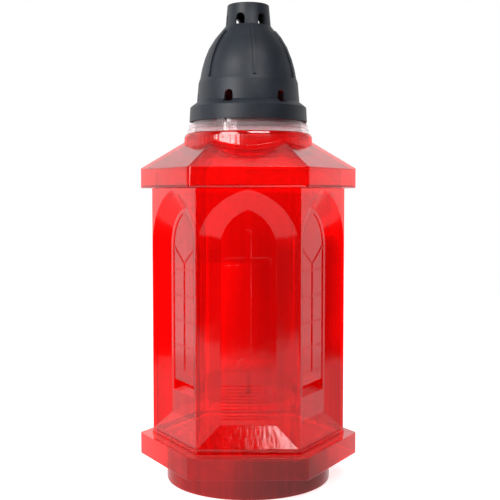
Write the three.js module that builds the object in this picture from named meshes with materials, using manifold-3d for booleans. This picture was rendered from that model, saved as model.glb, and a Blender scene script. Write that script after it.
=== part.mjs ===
// Grave lantern: plinth, hexagonal niche body, roof with collar, clear liner, vented lid and candle refill.
// Millimetres, +Z up, the foot stands on z = 0 and the cross face looks along -Y.
import * as THREE from "three";
import { mergeVertices } from "three/addons/utils/BufferGeometryUtils.js";
import Module from "manifold-3d";

const wasm = await Module();
wasm.setup();

// Fits
const SLIP = 0.3; // gap between pieces that slip into each other
const OVERCUT = 1; // how far a cutter runs past the face it cuts

// Body
const SIDES = 6;
const BODY_R = 61.4;
const BODY_WALL = 2;
const BODY_ROUND = 1;
const BODY_HEIGHT = 168.4;
const BEAD_HEIGHT = 1.8; // low bead round the body's lower edge
const BEAD_RELIEF = 0.4;

// Foot and plinth
const FOOT_R = 52.2;
const FOOT_EDGE = 1;
const FOOT_HEIGHT = 14.9; // from the ground to the skirt's lower edge
const PLINTH_HEIGHT = 13.1;
const PLINTH_LEDGE = 8.5; // from the body's corners out to the plinth's
const PLINTH_ROUND = 3.5; // radius of the upright corners
const BASE_WALL = 2.2;
const LOCATOR_HEIGHT = 2.6; // kerb inside the body's lower edge

// Niches
const NICHE_MARGIN = 2.6; // face left between a niche and the body's corner
const SPLAY_WIDTH = 11.3; // from the outline on the face in to the one on the panel
const NICHE_DEPTH = 7;
const SPRINGING_DROP = 47.1; // from the body's top down to where the arches begin
const ARC_OFFSET = 7.9; // how far each arc's centre lies beyond the middle
const ARC_STEPS = 14;
const SILL_RISE = 3.4; // from the plinth up to the sill
const SILL_HEIGHT = 12.5;

// Cross, mound and steps
const RELIEF = 0.7;
const CROSS_RISE = 44.9; // from the sill up to the cross
const CROSS_DROP = 12.2; // from the panel's apex down to the cross
const CROSS_WIDTH = 3.6;
const ARM_HALF = 13.7;
const ARM_HEIGHT = 4.7;
const ARM_DROP = 5.2; // from the springing down to the arms
const ARM_ROUND = 1.5;
const MOUND_HALF = 5.8;
const MOUND_GAP = 6.6; // from the cross down to the mound's ends
const MOUND_RISE = 3.2;
const MOUND_LINE = 0.6;
const STAIR_MARGIN = 1.7; // from the sill up to the lowest step
const STAIR_PITCH = 2;
const STAIR_COUNT = 11;
const STAIR_RISE = 0.5;

// Windows
const WINDOW_MARGIN = 2.5; // panel left beside a window
const WINDOW_DEPTH = 0.6;
const PARAPET_HEIGHT = 14.5;
const WINDOW_GAP = 6.8; // from the parapet up to the window
const LEDGE_DEPTH = 4.2; // how far the sloping ledge under the window runs in
const LEDGE_RISE = 5;
const BAR_WIDTH = 0.9;
const BAR_RELIEF = 0.5;
const FORK_DROP = 10.3; // from the springing down to the mullion's fork
const TRANSOMS = [7, 22.3, 37.8, 53.8, 69.8]; // above the window's foot

// Roof and collar
const EAVES_OVERHANG = 7.7; // from the body's corners out to the eaves'
const EAVES_ROUND = 5;
const EAVES_DROP = 11; // from the body's top down to the band's lower edge
const EAVES_RISE = 1.1; // from the body's top up to the facets
const EAVES_EDGE = 1.6;
const ROOF_ANGLE = 34.5; // slope of a facet
const ROOF_WALL = 2.2;
const COLLAR_MARGIN = 4.8; // from the liner out to the collar's face
const COLLAR_DRAFT = 0.7;
const COLLAR_RISE = 22.2; // from the facets' lower edge up to the collar's top
const COLLAR_EDGE = 2.2;
const SEAT_WIDTH = 7; // flat ring under the roof that the body's rim meets
const LOCATOR_DROP = 4.5; // skirt that reaches down inside the body's rim

// Clear liner
const LINER_R = 36.2;
const LINER_WALL = 1.6;
const LINER_TAPER = 0.8;
const LINER_LIFT = 21.7; // from the plinth up to the liner's floor
const LINER_FLOOR = 1.8;
const LINER_EDGE = 2;
const RIM_OVERHANG = 2.2;
const RIM_LIP = 2.2;
const RING_OVERHANG = 1.4;
const RING_HEIGHT = 3;
const NECK_STEP = 1.3; // from the liner's radius in to the neck's
const NECK_HEIGHT = 11.1;
const LUGS = 3;
const LUG_WIDTH = 5;
const LUG_REACH = 1.8;
const LUG_HEIGHT = 2.3;
const LUG_PHASE = -26.5;

// Lid
const LID_WALL = 1.7;
const FLANGE_OVERHANG = 2.3; // from the neck out to the flange's face
const FLANGE_DRAFT = 0.5;
const FLANGE_CROWN = 0.4; // from the lid's seat over the neck up to the flange's top
const BAND_STEP = 2.5; // from the neck in to the vent band
const BAND_DRAFT = 1;
const BAND_RISE = 2.6;
const BAND_HEIGHT = 11.9;
const SHOULDER_HEIGHT = 2.2;
const DOME = [
  [2, 0.5],
  [3.15, 6.6],
  [4.9, 12.8],
  [7.45, 19.1],
  [11.3, 25.3],
  [14.8, 29.5],
]; // in from the band, above the shoulder
const CHIMNEY_R = 14.3;
const CHIMNEY_RISE = 3.3; // from the dome up to the chimney
const CHIMNEY_HEIGHT = 13.8;
const CHIMNEY_DRAFT = 1.2;
const CAP_RECESS = 1;
const RIM_WIDTH = 1.3;
const NOTCH_WIDTH = 1.2;
const NOTCH_ANGLE = -58;
const VENTS = 6;
const VENT_PHASE = -21.5;
const BAND_VENT = { width: 5.5, height: 7.3, drop: 1.7 }; // drop: from the band's foot down to the vent's
const CHIMNEY_VENT = { width: 6.2, height: 6.8, drop: -0.6 };
const RIB_PHASE = 7.5;
const RIB_WIDTH = 1.9;
const RIB_RELIEF = 0.8;

// Candle refill
const REFILL_CLEARANCE = 4.3; // all round, in the neck that it is put in through
const CANDLE_HEIGHT = 15;
const CANDLE_WALL = 0.8;
const WAX_DROP = 2.6; // from the cup's rim down to the wax
const HOLDER_R = 7;
const HOLDER_THICK = 0.5;
const NECK_TUBE_R = 1.7;
const NECK_TUBE_HEIGHT = 5;
const WICK_R = 0.9;
const WICK_ABOVE_WAX = 5;

const rad = THREE.MathUtils.degToRad;
const cos30 = Math.cos(Math.PI / SIDES);
const ROUND = 72; // segments of a full turn

// Heights above the ground
const plinthTop = FOOT_HEIGHT + PLINTH_HEIGHT;
const bodyTop = plinthTop + BODY_HEIGHT;
const springing = bodyTop - SPRINGING_DROP;
const sillLow = plinthTop + SILL_RISE;
const sillHigh = sillLow + SILL_HEIGHT;
const parapetTop = sillHigh + PARAPET_HEIGHT;
const windowSill = parapetTop + WINDOW_GAP;
const eavesLow = bodyTop - EAVES_DROP;
const eavesHigh = bodyTop + EAVES_RISE;
const collarTop = eavesHigh + COLLAR_RISE;
const linerBottom = plinthTop + LINER_LIFT;
const ringTop = collarTop + RIM_LIP + RING_HEIGHT;
const neckTop = ringTop + NECK_HEIGHT;
const lidBottom = ringTop + LUG_HEIGHT;
const flangeTop = neckTop + SLIP + FLANGE_CROWN;
const bandLow = flangeTop + BAND_RISE;
const bandHigh = bandLow + BAND_HEIGHT;
const shoulderHigh = bandHigh + SHOULDER_HEIGHT;
const chimneyLow = shoulderHigh + DOME[DOME.length - 1][1] + CHIMNEY_RISE;
const chimneyTop = chimneyLow + CHIMNEY_HEIGHT;

// Widths that follow from others
const plinthR = BODY_R + PLINTH_LEDGE;
const eavesR = BODY_R + EAVES_OVERHANG;
const nicheHalf = BODY_R / 2 - NICHE_MARGIN;
const panelHalf = nicheHalf - SPLAY_WIDTH;
const windowHalf = panelHalf - WINDOW_MARGIN;
const collarR = LINER_R + COLLAR_MARGIN;
const rimR = LINER_R + RIM_OVERHANG;
const ringR = LINER_R + RING_OVERHANG;
const neckR = LINER_R - NECK_STEP;
const neckInner = neckR - LINER_WALL;
const lugR = neckR + LUG_REACH;
const flangeR = neckR + FLANGE_OVERHANG;
const bandR = neckR - BAND_STEP;
const candleR = neckInner - REFILL_CLEARANCE;

// Solids from three.js geometry, and back
function solid(geometry) {
  const plain = geometry.clone();
  plain.deleteAttribute("normal");
  plain.deleteAttribute("uv");
  const merged = mergeVertices(plain, 1e-4);
  return new wasm.Manifold(
    new wasm.Mesh({
      numProp: 3,
      vertProperties: new Float32Array(merged.getAttribute("position").array),
      triVerts: new Uint32Array(merged.index.array),
    }),
  );
}

function geometryOf(made) {
  const mesh = made.getMesh();
  const geometry = new THREE.BufferGeometry();
  geometry.setAttribute("position", new THREE.BufferAttribute(mesh.vertProperties, 3));
  geometry.setIndex(new THREE.BufferAttribute(mesh.triVerts, 1));
  geometry.computeVertexNormals();
  return geometry;
}

const join = (parts) => parts.reduce((sum, part) => sum.add(part));
const cut = (body, parts) => parts.reduce((rest, part) => rest.subtract(part), body);

// Turned solid from [radius, z] points that start and end on the axis or close on themselves
function turned(profile, segments = ROUND) {
  const points = profile.map(([r, z]) => new THREE.Vector2(r, z));
  const geometry = new THREE.LatheGeometry(points, segments, segments === SIDES ? Math.PI / 2 : 0);
  geometry.rotateX(Math.PI / 2);
  const made = solid(geometry);
  if (made.volume() > 0) return made;
  const index = geometry.index.array;
  for (let i = 0; i < index.length; i += 3) [index[i + 1], index[i + 2]] = [index[i + 2], index[i + 1]];
  return solid(geometry);
}

const hexagon = (profile) => turned(profile, SIDES);

// Upright hexagonal prism with rounded corners
function roundedHexagon(cornerR, radius, low, high) {
  const shape = new THREE.Shape();
  const centreR = cornerR - radius / cos30;
  for (let side = 0; side < SIDES; side++) {
    for (const turn of [-30, -15, 0, 15, 30]) {
      const corner = rad(side * 60);
      const a = corner + rad(turn);
      const x = centreR * Math.cos(corner) + radius * Math.cos(a);
      const y = centreR * Math.sin(corner) + radius * Math.sin(a);
      if (side === 0 && turn === -30) shape.moveTo(x, y);
      else shape.lineTo(x, y);
    }
  }
  const geometry = new THREE.ExtrudeGeometry(shape, { depth: high - low, bevelEnabled: false });
  geometry.translate(0, 0, low);
  return solid(geometry);
}

// Solid skinned over rings of equally many points, each ring flat and seen anticlockwise from the last one
function skinned(rings) {
  const count = rings[0].length;
  const corners = rings.flat();
  const faces = [];
  for (let k = 0; k + 1 < rings.length; k++) {
    for (let i = 0; i < count; i++) {
      const a = k * count + i;
      const b = k * count + ((i + 1) % count);
      faces.push([a, b, b + count], [a, b + count, a + count]);
    }
  }
  const flat = rings[0].map((p) => new THREE.Vector2(p.x, p.z));
  const last = (rings.length - 1) * count;
  for (const [a, b, c] of THREE.ShapeUtils.triangulateShape(flat, [])) {
    faces.push([a, c, b], [last + a, last + b, last + c]);
  }
  const positions = faces.flat().flatMap((i) => [corners[i].x, corners[i].y, corners[i].z]);
  const geometry = new THREE.BufferGeometry();
  geometry.setAttribute("position", new THREE.Float32BufferAttribute(positions, 3));
  const made = solid(geometry);
  if (made.volume() > 0) return made;
  const flipped = faces.map(([a, b, c]) => [a, c, b]);
  const turnedRound = flipped.flat().flatMap((i) => [corners[i].x, corners[i].y, corners[i].z]);
  geometry.setAttribute("position", new THREE.Float32BufferAttribute(turnedRound, 3));
  return solid(geometry);
}

const ring = (outline, y) => outline.map(([x, z]) => new THREE.Vector3(x, y, z));
const prism = (outline, y0, y1) => skinned([ring(outline, y0), ring(outline, y1)]);

function turnedBy(geometryMade, angle) {
  const geometry = geometryOf(geometryMade);
  geometry.rotateZ(rad(angle));
  return solid(geometry);
}

const around = (made, count, phase = 0) =>
  Array.from({ length: count }, (_, i) => turnedBy(made, phase + (i * 360) / count));

// Outline of a pointed arch on straight jambs
function archOutline(half, foot) {
  const radius = half + ARC_OFFSET;
  const apex = Math.acos(ARC_OFFSET / radius);
  const right = [];
  for (let i = 0; i <= ARC_STEPS; i++) {
    const a = (apex * i) / ARC_STEPS;
    right.push([radius * Math.cos(a) - ARC_OFFSET, springing + radius * Math.sin(a)]);
  }
  right[ARC_STEPS][0] = 0;
  const left = right.slice(0, -1).map(([x, z]) => [-x, z]).reverse();
  return [[-half, foot], [half, foot], ...right, ...left];
}

// Curved strip between two radii about (cx, cz), from angle a0 to a1, in the face's own plane
function arcStrip(cx, cz, inner, outer, a0, a1, steps) {
  const point = (r, i) => {
    const a = a0 + ((a1 - a0) * i) / steps;
    return [cx + r * Math.cos(a), cz + r * Math.sin(a)];
  };
  const far = Array.from({ length: steps + 1 }, (_, i) => point(outer, i));
  const near = Array.from({ length: steps + 1 }, (_, i) => point(inner, steps - i));
  return [...far, ...near];
}

const box = (x0, x1, z0, z1) => [[x0, z0], [x1, z0], [x1, z1], [x0, z1]];

// Rounded bar: a box whose four corners are cut by short arcs
function roundedBar(x0, x1, z0, z1, radius) {
  const corners = [
    [x1 - radius, z1 - radius, 0],
    [x0 + radius, z1 - radius, 1],
    [x0 + radius, z0 + radius, 2],
    [x1 - radius, z0 + radius, 3],
  ];
  return corners.flatMap(([cx, cz, quarter]) =>
    [0, 1, 2, 3].map((i) => {
      const a = ((quarter + i / 3) * Math.PI) / 2;
      return [cx + radius * Math.cos(a), cz + radius * Math.sin(a)];
    }),
  );
}

// Foot and plinth: a top plate that carries the hexagonal skirt and the round foot ring
const footOuter = turned([
  [0, 0],
  [FOOT_R - FOOT_EDGE, 0],
  [FOOT_R - FOOT_EDGE * 0.35, FOOT_EDGE * 0.35],
  [FOOT_R, FOOT_EDGE],
  [FOOT_R, plinthTop - BASE_WALL / 2],
  [0, plinthTop - BASE_WALL / 2],
]);
const footInner = turned([
  [0, -OVERCUT],
  [FOOT_R - BASE_WALL, -OVERCUT],
  [FOOT_R - BASE_WALL, plinthTop - BASE_WALL],
  [0, plinthTop - BASE_WALL],
]);
const skirtOuter = roundedHexagon(plinthR, PLINTH_ROUND, FOOT_HEIGHT, plinthTop);
const skirtR = plinthR - BASE_WALL / cos30;
const skirtInner = hexagon([
  [0, FOOT_HEIGHT - OVERCUT],
  [skirtR, FOOT_HEIGHT - OVERCUT],
  [skirtR, plinthTop - BASE_WALL],
  [0, plinthTop - BASE_WALL],
]);
const bodyInnerR = BODY_R - BODY_WALL / cos30;
const kerbR = bodyInnerR - SLIP / cos30;
const kerbOuter = hexagon([
  [0, plinthTop - BASE_WALL / 2],
  [kerbR, plinthTop - BASE_WALL / 2],
  [kerbR, plinthTop + LOCATOR_HEIGHT],
  [0, plinthTop + LOCATOR_HEIGHT],
]);
const kerbInnerR = kerbR - BASE_WALL / cos30;
const kerbInner = hexagon([
  [0, plinthTop],
  [kerbInnerR, plinthTop],
  [kerbInnerR, plinthTop + LOCATOR_HEIGHT + OVERCUT],
  [0, plinthTop + LOCATOR_HEIGHT + OVERCUT],
]);
const plinth = cut(skirtOuter, [skirtInner]);
const footRing = cut(footOuter, [footInner]);
const basePlinth = join([plinth, footRing, cut(kerbOuter, [kerbInner])]);

// Body: a hexagonal shell whose niches are pushed in at an even wall
const apothem = BODY_R * cos30;

function niche(grow) {
  const outer = archOutline(nicheHalf + grow, sillLow - grow);
  const inner = archOutline(panelHalf + grow, sillHigh - grow);
  const depth = NICHE_DEPTH + grow;
  const face = -apothem;
  return skinned([ring(outer, face - OVERCUT), ring(outer, face), ring(inner, face + depth)]);
}

function windowRecess(grow) {
  const outline = archOutline(windowHalf + grow, windowSill - grow);
  const panel = -apothem + NICHE_DEPTH;
  return prism(outline, panel - OVERCUT, panel + WINDOW_DEPTH + grow);
}

// Profile drawn as [distance behind the face, z] and run along the face over both sides of its middle
function alongFace(profile, half) {
  const outline = profile.map(([depth, z]) => [depth - apothem, z]);
  return turnedBy(prism(outline, -half, half), 90);
}

// Pocket under the window, with a floor that slopes down and out
function ledgePocket(grow) {
  const front = NICHE_DEPTH - OVERCUT - grow;
  const back = NICHE_DEPTH + LEDGE_DEPTH + grow;
  const slope = LEDGE_RISE / LEDGE_DEPTH;
  const floor = (depth) => parapetTop + slope * (depth - NICHE_DEPTH) - grow * Math.hypot(1, slope);
  const top = windowSill + grow;
  const profile = [[front, floor(front)], [back, floor(back)], [back, top], [front, top]];
  return alongFace(profile, windowHalf + grow);
}

// Relief on the panel of the front face
function crossRelief() {
  const panel = -apothem + NICHE_DEPTH;
  const half = CROSS_WIDTH / 2;
  const back = panel + BODY_WALL / 2;
  const crossFoot = sillHigh + CROSS_RISE;
  const crossTop = springing + Math.sqrt((panelHalf + ARC_OFFSET) ** 2 - ARC_OFFSET ** 2) - CROSS_DROP;
  const armTop = springing - ARM_DROP;
  const upright = prism(roundedBar(-half, half, crossFoot, crossTop, half / 2), panel - RELIEF, back);
  const armOutline = roundedBar(-ARM_HALF, ARM_HALF, armTop - ARM_HEIGHT, armTop, ARM_ROUND);
  const arms = prism(armOutline, panel - RELIEF, back);
  const radius = (MOUND_HALF ** 2 + MOUND_RISE ** 2) / (2 * MOUND_RISE);
  const spread = Math.asin(MOUND_HALF / radius);
  const middle = crossFoot - MOUND_GAP + MOUND_RISE - radius;
  const up = Math.PI / 2;
  const outline = arcStrip(0, middle, radius - MOUND_LINE, radius, up - spread, up + spread, 8);
  const mound = prism(outline, panel - RELIEF / 2, back);
  const stairFoot = sillHigh + STAIR_MARGIN;
  const stairTop = stairFoot + STAIR_COUNT * STAIR_PITCH;
  const teeth = Array.from({ length: STAIR_COUNT }, (_, i) => {
    const top = stairTop - i * STAIR_PITCH;
    const nose = [NICHE_DEPTH - STAIR_RISE, top - STAIR_PITCH * 0.6];
    return [[NICHE_DEPTH, top], nose, [NICHE_DEPTH, top - STAIR_PITCH * 0.85]];
  });
  const rear = NICHE_DEPTH + BODY_WALL / 2;
  const stairs = alongFace([[rear, stairTop], ...teeth.flat(), [rear, stairFoot]], panelHalf - 0.4);
  return [upright, arms, mound, stairs];
}

// Tracery on the panel of a window face
function tracery() {
  const pane = -apothem + NICHE_DEPTH + WINDOW_DEPTH;
  const back = pane + BODY_WALL / 2;
  const front = pane - BAR_RELIEF;
  const half = BAR_WIDTH / 2;
  const fork = springing - FORK_DROP;
  const mullion = prism(box(-half, half, windowSill + TRANSOMS[0], fork + 2), front, back);
  const reachOut = windowHalf - 1.2;
  const bars = TRANSOMS.map((rise) => {
    const z = windowSill + rise;
    return prism(box(-reachOut, reachOut, z - half, z + half), front, back);
  });
  const radius = (windowHalf ** 2 + FORK_DROP ** 2) / (2 * FORK_DROP);
  const reach = Math.asin((windowHalf - 0.8) / radius);
  const centre = fork + radius;
  const branch = (side) => {
    const from = -Math.PI / 2;
    const ends = [from, from + side * reach].sort((a, b) => a - b);
    return prism(arcStrip(0, centre, radius - half, radius + half, ...ends, 8), front, back);
  };
  return [mullion, ...bars, branch(1), branch(-1)];
}

const bodyBlock = roundedHexagon(BODY_R, BODY_ROUND, plinthTop, bodyTop);
const bead = roundedHexagon(BODY_R + BEAD_RELIEF / cos30, BODY_ROUND, plinthTop, plinthTop + BEAD_HEIGHT);
const bodyOuter = join([bodyBlock, bead]);
const bodyHollow = hexagon([
  [0, plinthTop - OVERCUT],
  [bodyInnerR, plinthTop - OVERCUT],
  [bodyInnerR, bodyTop + OVERCUT],
  [0, bodyTop + OVERCUT],
]);
const nicheCuts = around(niche(0), SIDES);
const nicheBacks = around(niche(BODY_WALL), SIDES);
const onWindowFaces = (made) => made.flatMap((piece) => around(piece, SIDES / 2, 60));
const windowCuts = onWindowFaces([windowRecess(0), ledgePocket(0)]);
const windowBacks = onWindowFaces([windowRecess(BODY_WALL), ledgePocket(BODY_WALL)]);
const cavity = cut(bodyHollow, [...nicheBacks, ...windowBacks]);
const shell = cut(bodyOuter, [...nicheCuts, ...windowCuts, cavity]);
const crosses = crossRelief().flatMap((piece) => around(piece, SIDES / 2));
const windows = onWindowFaces(tracery());
const bodyShell = join([shell, ...crosses, ...windows]);

// Roof: eaves band, six facets and the collar, an even shell with a flat seat for the body's rim
const rise = Math.tan(rad(ROOF_ANGLE)) * cos30;
const roofPeak = eavesHigh + rise * eavesR;
const roofDrop = ROOF_WALL / Math.cos(rad(ROOF_ANGLE));
const eavesInnerR = eavesR - ROOF_WALL / cos30;
const roofOuter = hexagon([
  [0, eavesLow],
  [eavesR - EAVES_EDGE, eavesLow],
  [eavesR - EAVES_EDGE * 0.3, eavesLow + EAVES_EDGE * 0.3],
  [eavesR, eavesLow + EAVES_EDGE],
  [eavesR, eavesHigh],
  [0, roofPeak],
]);
const roofInner = hexagon([
  [0, eavesLow - OVERCUT],
  [eavesInnerR, eavesLow - OVERCUT],
  [eavesInnerR, roofPeak - roofDrop - rise * eavesInnerR],
  [0, roofPeak - roofDrop],
]);
const collarFoot = eavesHigh + rise * (eavesR - collarR) - 8;
const collarOuter = turned([
  [0, collarFoot],
  [collarR, collarFoot],
  [collarR - COLLAR_DRAFT, collarTop - COLLAR_EDGE],
  [collarR - COLLAR_DRAFT - COLLAR_EDGE * 0.3, collarTop - COLLAR_EDGE * 0.3],
  [collarR - COLLAR_DRAFT - COLLAR_EDGE, collarTop],
  [0, collarTop],
]);
const collarCore = turned([
  [0, eavesLow],
  [collarR - ROOF_WALL, eavesLow],
  [collarR - ROOF_WALL, collarTop - ROOF_WALL],
  [0, collarTop - ROOF_WALL],
]);
const mouthR = LINER_R + SLIP;
const mouth = turned([
  [0, collarTop - ROOF_WALL - OVERCUT],
  [mouthR, collarTop - ROOF_WALL - OVERCUT],
  [mouthR, roofPeak + OVERCUT],
  [0, roofPeak + OVERCUT],
]);
const aboveCollar = turned([
  [0, collarTop],
  [collarR + OVERCUT, collarTop],
  [collarR + OVERCUT, roofPeak + OVERCUT],
  [0, roofPeak + OVERCUT],
]);
const seatOuterR = BODY_R + SEAT_WIDTH / 2;
const seatInnerR = bodyInnerR - SLIP / cos30 - ROOF_WALL / cos30;
function hexRing(outer, inner, low, high) {
  const whole = hexagon([[0, low], [outer, low], [outer, high], [0, high]]);
  const from = low - OVERCUT;
  const to = high + OVERCUT;
  return whole.subtract(hexagon([[0, from], [inner, from], [inner, to], [0, to]]));
}

const seat = hexRing(seatOuterR, seatInnerR, bodyTop, bodyTop + 12).intersect(roofOuter);
const roofLocator = hexRing(kerbR, seatInnerR, bodyTop - LOCATOR_DROP, bodyTop + 12).intersect(roofOuter);
const roundedBlock = roundedHexagon(eavesR, EAVES_ROUND, eavesLow, roofPeak);
const facets = cut(roofOuter, [roofInner]).intersect(roundedBlock);
const roofShell = join([facets, collarOuter, seat, roofLocator]);
const roofCap = cut(roofShell, [collarCore, mouth, aboveCollar]);

// Clear liner: hangs by its rim on the collar and ends in the neck that the lid slips over
const linerInner = LINER_R - LINER_WALL;
const linerFootR = LINER_R - LINER_TAPER;
const linerBody = turned([
  [0, linerBottom],
  [linerFootR - LINER_EDGE, linerBottom],
  [linerFootR - LINER_EDGE * 0.3, linerBottom + LINER_EDGE * 0.3],
  [linerFootR, linerBottom + LINER_EDGE],
  [LINER_R, collarTop - ROOF_WALL],
  [LINER_R, collarTop],
  [rimR, collarTop],
  [rimR, collarTop + RIM_LIP],
  [ringR, collarTop + RIM_LIP],
  [ringR, ringTop],
  [neckR, ringTop],
  [neckR, neckTop - 0.6],
  [neckR - 0.6, neckTop],
  [neckInner, neckTop],
  [neckInner, ringTop],
  [linerInner - 0.4, collarTop],
  [linerFootR - LINER_WALL, linerBottom + LINER_FLOOR],
  [0, linerBottom + LINER_FLOOR],
]);

const lugOutline = box(-LUG_WIDTH / 2, LUG_WIDTH / 2, ringTop, lidBottom);
const lug = prism(lugOutline, -lugR, -(neckR - LINER_WALL / 2));
const innerCup = join([linerBody, ...around(lug, LUGS, LUG_PHASE)]);

// Lid: one turned shell with ribs on the dome, vents in the band and the chimney, and a recessed top
const chimneyTopR = CHIMNEY_R - CHIMNEY_DRAFT;
const dome = DOME.map(([inset, height]) => [bandR - inset, shoulderHigh + height]);
const bandTopR = bandR - BAND_DRAFT;
const lidOuter = [
  [flangeR, lidBottom],
  [flangeR - FLANGE_DRAFT, flangeTop - 0.8],
  [flangeR - FLANGE_DRAFT - 0.8, flangeTop],
  [bandR, bandLow],
  [bandTopR, bandHigh],
  [bandTopR - 0.5, shoulderHigh - 0.6],
  ...dome,
  [CHIMNEY_R + 0.5, chimneyLow],
  [CHIMNEY_R - 0.1, chimneyLow + 1],
  [chimneyTopR, chimneyTop - 0.4],
  [chimneyTopR - 0.4, chimneyTop],
];
const neckClear = neckR + SLIP;
const lidInner = [
  [neckClear, lidBottom],
  [neckClear, neckTop + SLIP],
  [bandR - LID_WALL, neckTop + SLIP + 1.5],
  [bandTopR - LID_WALL, bandHigh],
  ...dome.map(([r, z]) => [r - LID_WALL, z - LID_WALL * 0.35]),
  [CHIMNEY_R - LID_WALL, chimneyLow - LID_WALL],
  [chimneyTopR - LID_WALL, chimneyTop - CAP_RECESS - LID_WALL],
];
const lidCap = [
  [chimneyTopR - RIM_WIDTH, chimneyTop],
  [chimneyTopR - RIM_WIDTH, chimneyTop - CAP_RECESS],
  [0, chimneyTop - CAP_RECESS],
];
const capInside = [0, chimneyTop - CAP_RECESS - LID_WALL];
const lidShell = turned([...lidOuter, ...lidCap, capInside, ...lidInner.reverse(), lidOuter[0]]);

// Arched vent, as a cutter that runs out along -Y from inside the wall
function vent({ width, height, drop }, foot, from, to) {
  const half = width / 2;
  const low = foot - drop;
  const straight = height - half;
  const head = [0, 1, 2, 3, 4, 5, 6].map((i) => {
    const a = (Math.PI * i) / 6;
    return [half * Math.cos(a), low + straight + half * Math.sin(a)];
  });
  return prism([[-half, low], [half, low], ...head], -from, -to);
}

const bandVent = vent(BAND_VENT, bandLow, flangeR + OVERCUT, bandTopR - 2 * LID_WALL);
const chimneyVent = vent(CHIMNEY_VENT, chimneyLow, CHIMNEY_R + OVERCUT, CHIMNEY_R / 2);
const vents = [bandVent, chimneyVent].flatMap((piece) => around(piece, VENTS, VENT_PHASE));
const notchOutline = box(-NOTCH_WIDTH / 2, NOTCH_WIDTH / 2, chimneyTop - CAP_RECESS, chimneyTop + OVERCUT);
const notchInner = RIM_WIDTH + OVERCUT - chimneyTopR;
const notch = turnedBy(prism(notchOutline, -chimneyTopR - OVERCUT, notchInner), NOTCH_ANGLE);

// Rib: a strip of the dome's own profile, raised by its relief
function domeRib() {
  const outer = dome.map(([r, z]) => [r + RIB_RELIEF, z + RIB_RELIEF * 0.3]);
  const inner = dome.map(([r, z]) => [r - LID_WALL / 2, z - LID_WALL * 0.2]).reverse();
  const shape = new THREE.Shape([...outer, ...inner].map(([r, z]) => new THREE.Vector2(r, z)));
  const geometry = new THREE.ExtrudeGeometry(shape, { depth: RIB_WIDTH, bevelEnabled: false });
  geometry.translate(0, 0, -RIB_WIDTH / 2);
  geometry.rotateX(Math.PI / 2);
  geometry.rotateZ(-Math.PI / 2);
  return solid(geometry);
}

const ribs = around(domeRib(), VENTS, RIB_PHASE);
const lidHood = cut(join([lidShell, ...ribs]), [...vents, notch]);

// Candle refill on the liner's floor
const candleFloor = linerBottom + LINER_FLOOR;
const candleInnerR = candleR - CANDLE_WALL;
const candleCup = turned([
  [0, candleFloor],
  [candleR - 1.2, candleFloor],
  [candleR, candleFloor + 1.2],
  [candleR, candleFloor + CANDLE_HEIGHT],
  [candleInnerR, candleFloor + CANDLE_HEIGHT],
  [candleInnerR, candleFloor + CANDLE_WALL],
  [0, candleFloor + CANDLE_WALL],
]);
const waxBottom = candleFloor + CANDLE_WALL;
const waxTop = candleFloor + CANDLE_HEIGHT - WAX_DROP;
const holderBore = WICK_R + 0.15;
const wickHolder = turned([
  [holderBore, waxBottom],
  [HOLDER_R, waxBottom],
  [HOLDER_R, waxBottom + HOLDER_THICK],
  [NECK_TUBE_R, waxBottom + HOLDER_THICK],
  [NECK_TUBE_R, waxBottom + NECK_TUBE_HEIGHT],
  [holderBore, waxBottom + NECK_TUBE_HEIGHT],
  [holderBore, waxBottom],
], 32);
const waxR = candleInnerR - 0.1;
const candleWax = turned([
  [HOLDER_R + 0.1, waxBottom],
  [waxR, waxBottom],
  [waxR, waxTop + 0.5],
  [waxR - 0.9, waxTop],
  [holderBore, waxTop],
  [holderBore, waxBottom + NECK_TUBE_HEIGHT + 0.1],
  [NECK_TUBE_R + 0.1, waxBottom + NECK_TUBE_HEIGHT + 0.1],
  [NECK_TUBE_R + 0.1, waxBottom + HOLDER_THICK + 0.1],
  [HOLDER_R + 0.1, waxBottom + HOLDER_THICK + 0.1],
  [HOLDER_R + 0.1, waxBottom],
]);
const wick = turned([
  [0, waxBottom],
  [WICK_R, waxBottom],
  [WICK_R, waxTop + WICK_ABOVE_WAX - 0.4],
  [WICK_R * 0.5, waxTop + WICK_ABOVE_WAX],
  [0, waxTop + WICK_ABOVE_WAX],
], 16);

// The lantern
const lantern = new THREE.Group();
const pieces = [
  ["base_plinth", basePlinth, 0xc8101a, 0.12, 0],
  ["body_shell", bodyShell, 0xd0121c, 0.12, 0],
  ["roof_cap", roofCap, 0xcc1019, 0.12, 0],
  ["inner_cup", innerCup, 0xe9eef0, 0.08, 0],
  ["lid_hood", lidHood, 0x2b2d33, 0.55, 0],
  ["candle_cup", candleCup, 0xe4e8ea, 0.15, 0],
  ["candle_wax", candleWax, 0xf4f0e4, 0.5, 0],
  ["wick_holder", wickHolder, 0xc9ccd0, 0.35, 1],
  ["wick", wick, 0xefe9da, 0.9, 0],
];
for (const [name, made, color, roughness, metalness] of pieces) {
  const material = new THREE.MeshStandardMaterial({ color, roughness, metalness });
  const mesh = new THREE.Mesh(geometryOf(made), material);
  mesh.name = name;
  lantern.add(mesh);
}

export default lantern;
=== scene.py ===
# %% [markdown]
# # A grave lantern
# The lantern is a stack of thin mouldings: a plinth, a six-sided body with gothic niches, and a roof with a
# collar, all in clear red polystyrene. A clear liner hangs in the collar, a low candle stands on the liner's
# floor, and a black lid with vents closes it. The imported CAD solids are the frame, and everything made here
# sits on them. All lengths are in metres.

# %% Load the frame
from math import cos, pi, radians, sin, sqrt

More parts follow.
